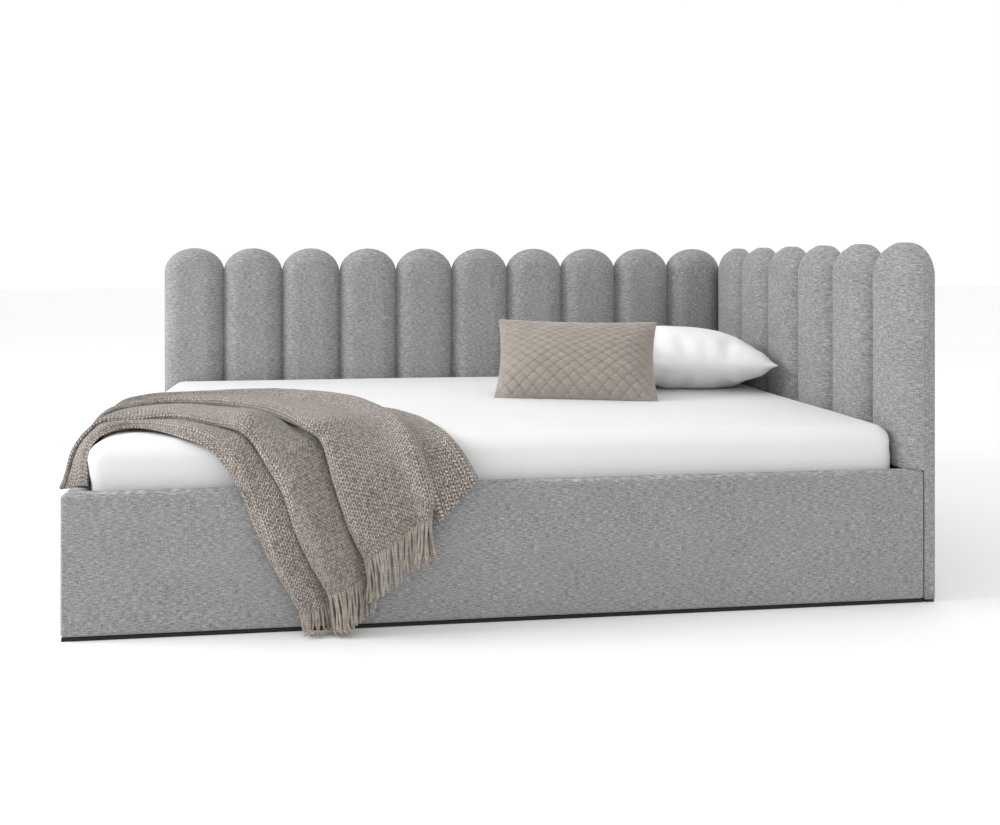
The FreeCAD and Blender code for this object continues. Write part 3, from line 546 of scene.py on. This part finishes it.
def mattress():
    """Fitted sheet over a foam mattress: big soft edges, faint pulls towards the corners."""
    low, high = (np.array(corner) for corner in MATTRESS)
    radii = (46 * MM, 46 * MM, 42 * MM)
    crown_height = 4 * MM
    settle = 1.5 * MM
    rail_lap = 8 * MM
    points, faces = rounded_box(low, high, radii, 18 * MM, skip_bottom=True)
    middle = (low + high) / 2
    half = (high - low) / 2
    for point in points:
        side = (point - middle) / half
        on_top = min(1.0, max(0.0, (point[2] - high[2] + 50 * MM) / (45 * MM)))
        crown = crown_height * max(0.0, 1 - side[0] ** 4) * max(0.0, 1 - side[1] ** 4)
        pulls = 1.6 * MM * rough(point, (1.6, 2.6, 1), 5.0)
        point[2] += on_top * (crown + pulls - settle)
        if side[0] < -0.9:
            above_rail = (point[2] - FRONT_RAIL[1].z - 8 * MM) / (40 * MM)
            point[0] -= rail_lap * min(1.0, max(0.0, above_rail))
        for axis, other in ((0, 1), (1, 0)):
            if abs(side[axis]) > 0.9 and on_top < 1:
                folds = rough(point, (1.6, 1.6, 26), 9.0) * 1.3 * MM
                near_corner = max(0.0, abs(side[other]) - 0.93) / 0.07
                folds += near_corner * 1.6 * MM * math.sin(point[2] * 210 + point[other] * 60)
                point[axis] += math.copysign(folds - 1 * MM, side[axis]) * (1 - on_top)
    sheet = piece("sheet_on_mattress", points, faces, "mattress", SHEET_COTTON,
                  ("fitted_sheet",))
    inside_low = low + 4 * MM
    inside_high = high - np.array([4, 4, 6]) * MM
    points, faces = rounded_box(inside_low, inside_high, radii, 60 * MM)
    block = piece("mattress_block", points, faces, "mattress", TICKING,
                  ("mattress_core",))


# ---------------------------------------------------------------- pillow and cushion

def sewn_case(name, long, wide, cuts, hollow):
    """Two equal cloths sewn round their edges, centred on zero, with (u, v) from -1 to 1.

    hollow is how far the middles of the ends and of the sides draw in.
    """
    columns, rows = cuts
    verts = []
    uv = []
    for face_side in (1, -1):
        for r in range(rows):
            for c in range(columns):
                u = -1 + 2 * c / (columns - 1)
                v = -1 + 2 * r / (rows - 1)
                rim = (1 - u ** 2) * (1 - v ** 2)
                uneven = 1.2 * MM * rough((u, v, 0), (3, 3, 1), 1.0)
                lift = face_side * (20 * MM * rim ** 0.5 + uneven) if rim > 1e-6 else 0.0
                verts.append((u * long / 2 * (1 - hollow[0] * (1 - v ** 2)),
                              v * wide / 2 * (1 - hollow[1] * (1 - u ** 2)), lift))
                uv.append((u, v))
    faces = grid_faces(rows, columns) + grid_faces(rows, columns, rows * columns)
    mesh = bpy.data.meshes.new(name)
    mesh.from_pydata(verts, [], faces)
    layer = mesh.uv_layers.new(name="UVMap")
    for loop in mesh.loops:
        layer.data[loop.index].uv = uv[loop.vertex_index]
    work = bmesh.new()
    work.from_mesh(mesh)
    bmesh.ops.remove_doubles(work, verts=work.verts, dist=0.0001)
    bmesh.ops.recalc_face_normals(work, faces=work.faces)
    work.to_mesh(mesh)
    work.free()
    obj = bpy.data.objects.new(name, mesh)
    bpy.context.scene.collection.objects.link(obj)
    return obj


def inflate(obj, pressure, frames):
    """Blow a sewn case up by a short cloth simulation with its seam held, and iron it."""
    seam = obj.vertex_groups.new(name="seam")
    on_seam = np.flatnonzero(np.abs(vertex_uv(obj.data)).max(axis=1) > 0.9999)
    seam.add([int(index) for index in on_seam], 1.0, "REPLACE")
    cloth = obj.modifiers.new("Cloth", "CLOTH")
    settings = cloth.settings
    settings.vertex_group_mass = "seam"
    settings.shrink_min = -0.05
    settings.quality = 6
    settings.mass = 0.25
    settings.air_damping = 4
    settings.tension_stiffness = 25
    settings.compression_stiffness = 25
    settings.shear_stiffness = 8
    settings.bending_stiffness = 4.0
    settings.use_pressure = True
    settings.uniform_pressure_force = pressure
    settings.effector_weights.gravity = 0
    cloth.point_cache.frame_start = 1
    cloth.point_cache.frame_end = frames
    for number in range(1, frames + 1):
        bpy.context.scene.frame_set(number)
    apply_modifiers(obj)
    bpy.context.scene.frame_set(1)
    ironed(obj.data, 6)


def apply_modifiers(obj):
    """Keep the shape that the modifiers give, without the modifiers."""
    evaluated = obj.evaluated_get(bpy.context.evaluated_depsgraph_get())
    result = bpy.data.meshes.new_from_object(evaluated)
    obj.modifiers.clear()
    obj.data = result


def ironed(mesh, passes):
    """Smooth the folds of a filled case, but leave its seam where it is."""
    work = bmesh.new()
    work.from_mesh(mesh)
    layer = work.loops.layers.uv.active
    inner = [vert for vert in work.verts
             if max(abs(part) for part in vert.link_loops[0][layer].uv) < 0.999]
    for _ in range(passes):
        bmesh.ops.smooth_vert(work, verts=inner, factor=0.5, use_axis_x=True, use_axis_y=True,
                              use_axis_z=True)
    work.to_mesh(mesh)
    work.free()


def subdivide(obj):
    """Apply one smooth subdivision."""
    modifier = obj.modifiers.new("Smooth", "SUBSURF")
    modifier.levels = 1
    apply_modifiers(obj)
    obj.data.polygons.foreach_set("use_smooth", [True] * len(obj.data.polygons))


def vertex_uv(mesh):
    """The (u, v) of each vertex."""
    result = np.zeros((len(mesh.vertices), 2))
    layer = mesh.uv_layers[0].data
    for loop in mesh.loops:
        result[loop.vertex_index] = layer[loop.index].uv
    return result


def fitted(mesh, size):
    """The mesh's points, centred and scaled so that their box has this size."""
    points = np.zeros(len(mesh.vertices) * 3)
    mesh.vertices.foreach_get("co", points)
    points = points.reshape(-1, 3)
    low = points.min(axis=0)
    high = points.max(axis=0)
    return (points - (low + high) / 2) / (high - low) * np.array(size)


def pillow():
    """A full pillow lying flat: its underside is pressed level by its weight."""
    low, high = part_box("pillow")
    size = (0.725, 0.50, 0.226)
    cloth = (0.72, 0.50)
    obj = sewn_case("pillow_filled", *cloth, cuts=(64, 48), hollow=(0.03, 0.05))
    inflate(obj, pressure=4.0, frames=28)
    subdivide(obj)

    mesh = obj.data
    points = fitted(mesh, size)
    half_height = size[2] / 2
    tall = np.abs(points[:, 2]) / half_height
    points[:, 2] = np.sign(points[:, 2]) * half_height * tall ** 0.74
    level = -half_height + 26 * MM
    under = points[:, 2] < level
    points[under, 2] = level - (level - points[under, 2]) * 0.12
    points[:, 2] -= points[:, 2].min()
    turn = Matrix.Rotation(math.radians(-6), 3, "Z")
    middle = (low + high) / 2
    place = np.array([middle.x + 20 * MM, middle.y - 34 * MM, low.z + 0.6 * MM])
    points = points @ np.array(turn).T + place
    mesh.vertices.foreach_set("co", points.astype(np.float32).ravel())
    mesh.update()
    mesh.materials.clear()
    mesh.materials.append(PILLOW_COTTON)
    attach(obj, "pillow")
    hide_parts("pillow")


def stuffed_case(size, cuts, hollow):
    """Points, faces and (u, v) of a plump case with sharp corners, centred on zero."""
    columns, rows = cuts
    points = []
    uv = []
    for face_side in (1, -1):
        for r in range(rows):
            for c in range(columns):
                u = -1 + 2 * c / (columns - 1)
                v = -1 + 2 * r / (rows - 1)
                rim = (1 - u ** 4) * (1 - v ** 2)
                puff = face_side * size[2] / 2 * rim ** 0.8
                puff *= 1 + 0.05 * rough((u, v, face_side), (2.4, 2.4, 1), 4.0)
                points.append((u * size[0] / 2 * (1 - hollow[0] * (1 - v ** 2)),
                               v * size[1] / 2 * (1 - hollow[1] * (1 - u ** 2)), puff))
                uv.append((u, v))
    faces = grid_faces(rows, columns) + grid_faces(rows, columns, rows * columns)
    return np.array(points), faces, np.array(uv)


def diamond_tucks(points, uv, size):
    """Press two crossing sets of curved pin tucks into both faces of a stuffed case."""
    spacing = 27 * MM
    tuck_width = 2.4 * MM
    slope = 0.62
    across = uv[:, 0] * size[0] / 2
    up = uv[:, 1] * size[1] / 2
    rim = np.clip((1 - np.abs(uv)).min(axis=1) / 0.10, 0, 1)
    side = np.sign(points[:, 2])
    bow = 0.5 * up ** 2 / size[1] + 2 * MM * np.sin(across * 30)
    for way, deep in ((1, 4.8 * MM), (-1, 3.3 * MM)):
        line = (across * slope + way * up + way * bow) / spacing
        off = np.abs(line - np.round(line)) * spacing
        points[:, 2] -= side * np.exp(-(off / tuck_width) ** 2) * deep * rim


def cushion():
    """A lumbar cushion with pin-tucked diamonds, leaning back against the pillow."""
    low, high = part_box("cushion")
    size = np.array([0.505, 0.275, 0.150])
    points, faces, uv = stuffed_case(size, cuts=(150, 90), hollow=(0.055, 0.05))
    diamond_tucks(points, uv, size)
    spin = Matrix.Rotation(math.radians(-0.6), 3, "Z")
    turn = Matrix.Rotation(math.radians(-15), 3, "Z")
    lean = Matrix.Rotation(math.radians(90 - 28), 3, "X")
    points = points @ np.array(turn @ lean @ spin).T
    middle = (low + high) / 2
    points += np.array([middle.x + 34 * MM, middle.y - 30 * MM, 0])
    pressed_in = 7 * MM
    points[:, 2] += low.z - pressed_in - points[:, 2].min()
    points[:, 2] = np.maximum(points[:, 2], low.z + 0.4 * MM)
    obj = piece("cushion_filled", points, faces, "cushion", BRUSHED_CLOTH,
                ("cushion",), uv * size[:2] / 2)


# ---------------------------------------------------------------- throw

# Guide lines of the throw in millimetres from the rails' outer corner, each from its end over the
# foot rail to its hem: the two edges, and the valleys between its four long folds.
FRONT_EDGE = [(50, 70, 339), (49, 73, 376), (48, 80, 406), (53, 99, 430), (66, 138, 444),
              (98, 184, 449), (140, 186, 450), (196, 142, 449), (264, 72, 443),
              (312, 42, 432), (354, 18, 404), (391, -6, 360), (414, -16, 319), (462, -16, 201),
              (546, -16, 50)]
VALLEY_A = [(-9, 92, 331), (-7, 140, 364), (-2, 184, 398), (14, 222, 430), (40, 246, 450),
            (110, 260, 451), (215, 244, 451), (318, 140, 451), (396, 50, 453), (436, 28, 424),
            (474, 2, 380), (516, -16, 314), (560, -16, 205)]
VALLEY_B = [(-11, 290, 330), (-9, 320, 374), (-4, 360, 418), (20, 410, 448), (58, 460, 451),
            (112, 508, 451), (185, 522, 451), (330, 430, 451), (440, 268, 451), (552, 60, 451),
            (604, 28, 424), (638, -16, 340), (674, -16, 240)]
VALLEY_C = [(-11, 430, 330), (-9, 462, 374), (-4, 510, 418), (20, 575, 446), (60, 632, 449),
            (130, 672, 450), (240, 674, 450), (400, 596, 450), (580, 448, 450), (700, 304, 451),
            (776, 132, 451), (810, 30, 424), (834, -10, 358), (846, -16, 310)]
BACK_EDGE = [(-14, 530, 331), (-12, 556, 374), (-2, 600, 414), (24, 660, 440), (76, 722, 447),
             (206, 752, 447), (372, 700, 447), (608, 516, 450), (762, 392, 452), (844, 236, 454),
             (880, 90, 456), (908, 38, 436), (934, 14, 404), (964, -14, 350)]
# Where each valley meets the hem, for the fold on its left and for the fold on its right.
HEM_A = ((606, -16, 72), (618, -16, 98))
HEM_B = ((694, -16, 132), (704, -16, 180))
HEM_C = ((840, -16, 269), (866, -14, 248))


def spline(points, count):
    """A smooth line through points, resampled at equal steps."""
    dense = catmull_rom(points, 24)
    length = np.concatenate([[0], np.cumsum(np.linalg.norm(np.diff(dense, axis=0), axis=1))])
    wanted = np.linspace(0, length[-1], count)
    return np.stack([np.interp(wanted, length, dense[:, axis]) for axis in range(3)], axis=1)


def smooth_rows(values, passes):
    """Each row pulled towards its neighbours."""
    for _ in range(passes):
        values[1:-1] = (values[:-2] + 2 * values[1:-1] + values[2:]) / 4
    return values


# A valley's section as (across, height) in millimetres: one fold runs under the next, or over it.
ROLL_ON = [(-12, 17), (-2, 10), (9, 6), (18, 6), (22, 11), (12, 17), (-4, 22), (-11, 32),
           (-6, 44), (9, 52)]
ROLL_OFF = [(-x, height) for x, height in reversed(ROLL_ON)]
ROLLS = (ROLL_ON, ROLL_ON, ROLL_OFF)
ROLL_TURN = 5
FRONT_LIP = [(0, 4), (2, 12), (10, 20)]
CROWNS = (36, 52, 52, 16)
CROWN_SHAPE = ((0.2, 1.0), (0.45, 0.86), (0.74, 0.5))
STEPS = 4


def throw_section(widths, fullness):
    """Across the throw at one place: (which guide pair, place in mm, height in mm)."""
    lying = 4
    slack = 14
    section = [(0, place, height) for place, height in FRONT_LIP]
    for lobe, width in enumerate(widths):
        ease = min(1.0, width / 110)
        section += [(lobe, width * part, slack + (CROWNS[lobe] - slack) * rise * ease)
                    for part, rise in CROWN_SHAPE]
        if lobe < len(ROLLS):
            for index, (place, height) in enumerate(ROLLS[lobe]):
                owner = lobe if index < ROLL_TURN else lobe + 1
                offset = width if owner == lobe else 0
                section.append((owner, offset + place * ease, 3 + (height - 3) * ease))
    section += [(3, widths[3] - 10, 13), (3, widths[3] - 2, 8), (3, widths[3], lying)]
    return [(lobe, place, lying + (height - lying) * fullness)
            for lobe, place, height in section]


def outward(lines, rows):
    """The direction away from what the throw lies on, for each row."""
    directions = []
    for row in range(rows):
        along = np.zeros(3)
        for left, right in lines:
            for line in (left, right):
                along += line[min(row + 2, rows - 1)] - line[max(row - 2, 0)]
        across = lines[3][1][row] - lines[0][0][row]
        up = np.cross(across, -along)
        directions.append(up / np.linalg.norm(up))
    directions = smooth_rows(np.array(directions), 6)
    return directions / np.linalg.norm(directions, axis=1, keepdims=True)


def throw_surface():
    """Points of the folded throw, row by row from the foot end to the hem, in metres."""
    rows = 230
    pairs = [(FRONT_EDGE, VALLEY_A + [HEM_A[0]]),
             (VALLEY_A + [HEM_A[1]], VALLEY_B + [HEM_B[0]]),
             (VALLEY_B + [HEM_B[1]], VALLEY_C + [HEM_C[0]]),
             (VALLEY_C + [HEM_C[1]], BACK_EDGE)]
    lines = [(spline(left, rows), spline(right, rows)) for left, right in pairs]
    up = outward(lines, rows)
    surface = []
    for row in range(rows):
        widths = [np.linalg.norm(right[row] - left[row]) for left, right in lines]
        controls = []
        opened = min(1.0, max(0.0, row / rows - 0.05) / 0.5)
        fullness = 0.27 + 0.73 * opened ** 1.2
        for lobe, place, height in throw_section(widths, fullness):
            left, right = lines[lobe][0][row], lines[lobe][1][row]
            way = (right - left) / max(np.linalg.norm(right - left), 1e-6)
            drift = 5 * rough((lobe * 3.1 + place * 0.012, row * 0.025, 0), (1, 1, 1), 2.0)
            controls.append(left + way * place + up[row] * (height + drift * height / 30))
        surface.append(catmull_rom(controls, STEPS))
    return np.array(surface) * MM + np.array(CORNER)


def wrinkled(surface):
    """The surface with long soft wrinkles and short fine ones, along its own normals."""
    rows, columns, _ = surface.shape
    wrinkle = np.zeros((rows, columns))
    for r in range(rows):
        for c in range(columns):
            place = (r / rows, c / columns, 0)
            wrinkle[r, c] = (2.2 * MM * rough(place, (9, 14, 1), 6.0)
                             + 1.0 * MM * rough(place, (30, 40, 1), 8.0))
    along = np.gradient(surface, axis=0)
    across = np.gradient(surface, axis=1)
    normal = np.cross(across, along)
    normal /= np.maximum(np.linalg.norm(normal, axis=2, keepdims=True), 1e-9)
    if normal[rows // 2, :, 2].mean() < 0:
        normal = -normal
    return surface + normal * wrinkle[..., None]


def throw():
    """The knitted throw: one sheet in four long folds, and its fringe."""
    surface = wrinkled(throw_surface())
    rows, columns, _ = surface.shape
    v = np.zeros((rows, columns))
    v[1:] = np.cumsum(np.linalg.norm(np.diff(surface, axis=0), axis=2), axis=0)
    v = v - v[-1]
    step = np.linalg.norm(np.diff(surface, axis=1), axis=2).mean(axis=0)
    u = np.broadcast_to(np.concatenate([[0], np.cumsum(step)]), (rows, columns))
    uv = np.stack([u, v], axis=2).reshape(-1, 2)
    knitted = piece("throw_knit", surface.reshape(-1, 3), grid_faces(rows, columns), "throw",
                    KNIT, ("throw_top", "throw_front_drop", "throw_foot_drop"), uv)
    thick = knitted.modifiers.new("Thickness", "SOLIDIFY")
    thick.thickness = 6 * MM
    thick.offset = 0
    fringe = fringe_strands(surface)


def strand_path(root, pull, seed, cuts):
    """Centre line of one strand: it leaves the hem along pull, hangs, and lies on the floor."""
    long = min((103 + 4 * math.sin(seed * 5.1)) * MM, root[2] + 4 * MM)
    sway = 0.3 * rough((seed, 1, 0), (0.35, 1, 1)) + 0.35 * rough((seed, 7, 0), (2.1, 1, 1))
    out = 0.10 * rough((seed, 4, 0), (1.3, 1, 1))
    floor_z = 9 * MM
    landing = 20 * MM
    path = []
    point = root - pull * 4 * MM
    for cut in range(cuts):
        part = cut / (cuts - 1)
        path.append(point)
        way = pull * (1 - part) ** 2 * 0.8 + np.array([0.0, 0.0, -1.0])
        way[0] += sway * (0.3 + part) + 0.12 * math.sin(seed * 3 + part * 7)
        way[1] += out * part
        room = max(0.0, point[2] - floor_z)
        if room < landing:
            squeeze = 1 - room / landing
            way[2] *= 1 - squeeze
            way[1] -= 0.5 * squeeze
            way[0] += (0.5 + 2 * sway) * squeeze
        point = point + way / np.linalg.norm(way) * long / (cuts - 1)
    return np.array(path), long


def fringe_strands(surface):
    """Strands knotted along the hem of the first three folds, hanging to just over the floor."""
    hem = surface[-1]
    inward = surface[-1] - surface[-4]
    length = np.concatenate([[0], np.cumsum(np.linalg.norm(np.diff(hem, axis=0), axis=1))])
    controls = len(FRONT_LIP) + 3 * len(CROWN_SHAPE) + 2 * len(ROLL_ON) + ROLL_TURN - 1
    end = length[controls * STEPS]
    verts = []
    faces = []
    uv = []
    sides = 6
    cuts = 13
    radius = 3.0 * MM
    spacing = 6.8 * MM
    twists = 60
    count = int(end / spacing)
    for strand in range(count):
        place = (strand + 0.5) / count * end
        root = np.array([np.interp(place, length, hem[:, axis]) for axis in range(3)])
        pull = np.array([np.interp(place, length, inward[:, axis]) for axis in range(3)])
        pull /= np.linalg.norm(pull)
        seed = strand * 0.73
        path, long = strand_path(root, pull, seed, cuts)
        offset = len(verts)
        for cut in range(cuts):
            tangent = path[min(cut + 1, cuts - 1)] - path[max(cut - 1, 0)]
            tangent /= np.linalg.norm(tangent)
            side = np.cross(tangent, (0.2, 1, 0.1))
            side /= np.linalg.norm(side)
            other = np.cross(tangent, side)
            size = radius * (1.15 if cut == 1 else 1.0) * (0.8 if cut == cuts - 1 else 1.0)
            for corner in range(sides):
                turn = 2 * math.pi * corner / sides
                verts.append(path[cut] + size * (math.cos(turn) * side + math.sin(turn) * other))
                uv.append((corner / sides, cut * long / (cuts - 1) * twists + seed))
        faces += grid_faces(cuts, sides, offset, close_rows=True)
        faces.append(tuple(offset + corner for corner in range(sides)))
        last = offset + (cuts - 1) * sides
        faces.append(tuple(last + corner for corner in reversed(range(sides))))
    return piece("throw_tassels", verts, faces, "throw", YARN, ("throw_fringe",), uv)


# ---------------------------------------------------------------- carried CAD nodes

def finish_cad_nodes():
    """Node materials for the pieces whose CAD shape is already right."""
    by_slot = {
        "chipboard": chipboard(),
        "batten": wood("pine_batten", (0.50, 0.34, 0.18), (0.68, 0.50, 0.30), (6, 90, 90)),
        "slat_ply": wood("birch_slat", (0.58, 0.43, 0.27), (0.74, 0.60, 0.42), (70, 5, 70), 0.45),
        "base_steel": coated("grey_powder_coat", (0.055, 0.055, 0.06), 0.5, 900),
        "black_steel": coated("black_powder_coat", (0.03, 0.03, 0.032), 0.45, 900),
        "zinc": coated("zinc_plate", (0.60, 0.60, 0.58), 0.35, 500, 1.0),
        # This black plastic is made darker than real plastic so that the strip under the rails
        # reads as the dark gap there: a painted shadow.
        "black_plastic": coated("black_plastic_darkened_for_gap_shadow", (0.005, 0.005, 0.005), 0.7, 1200),
        "rubber_pad": coated("rubber", (0.018, 0.018, 0.018), 0.8, 700),
    }
    slots = {part["node"]: part["material_slot"] for part in frame["record"]["subparts"]}
    for name, node in frame["nodes"].items():
        material = by_slot.get(slots[name])
        if material:
            node.data.materials.clear()
            node.data.materials.append(material)


# ---------------------------------------------------------------- stage

def floor():
    """A pale floor that reaches past the view."""
    finish = Finish("pale_floor", 0.9)
    mottle = finish.noise((0.8, 0.8, 0.8), 2.0)
    finish.colour(finish.ramp(mottle, [(0.3, grey(0.955)), (0.7, grey(0.965))]))
    reach = 30.0
    mesh = bpy.data.meshes.new("floor")
    mesh.from_pydata([(-reach, -reach, 0), (reach, -reach, 0), (reach, reach, 0),
                      (-reach, reach, 0)], [], [(0, 1, 2, 3)])
    mesh.materials.append(finish.material)
    ground = bpy.data.objects.new("floor", mesh)
    bpy.context.scene.collection.objects.link(ground)


def lighting():
    """Even white surroundings and one soft light from the left of the bed."""
    world = bpy.data.worlds.new("studio")
    world.use_nodes = True
    background = world.node_tree.nodes["Background"]
    background.inputs["Color"].default_value = (1, 1, 1, 1)
    background.inputs["Strength"].default_value = 1.0
    bpy.context.scene.world = world
    place = Vector((-4.8, -0.5, 3.0))
    target = Vector((0.3, 0.0, 0.4))
    panel = bpy.data.lights.new("key", "AREA")
    panel.shape = "RECTANGLE"
    panel.size = 1.7
    panel.size_y = 1.7
    panel.energy = 160
    light = bpy.data.objects.new("key", panel)
    light.location = place
    light.rotation_euler = (target - place).to_track_quat("-Z", "Y").to_euler()
    bpy.context.scene.collection.objects.link(light)


def camera():
    """A level view from in front of the foot end, with its frame shifted down."""
    lens = bpy.data.cameras.new("camera")
    lens.lens = 34.0
    lens.sensor_width = 36.0
    lens.shift_x = 0.0467
    lens.shift_y = -0.1494
    viewer = bpy.data.objects.new("camera", lens)
    viewer.location = (CORNER.x + 0.634, CORNER.y - 2.250, 0.867)
    viewer.rotation_euler = (math.radians(90), 0, -0.1206)
    bpy.context.scene.collection.objects.link(viewer)
    bpy.context.scene.camera = viewer


upholstered_frame()
mattress()
pillow()
cushion()
throw()
finish_cad_nodes()
floor()
lighting()
camera()
bpy.context.scene.view_settings.view_transform = "Standard"
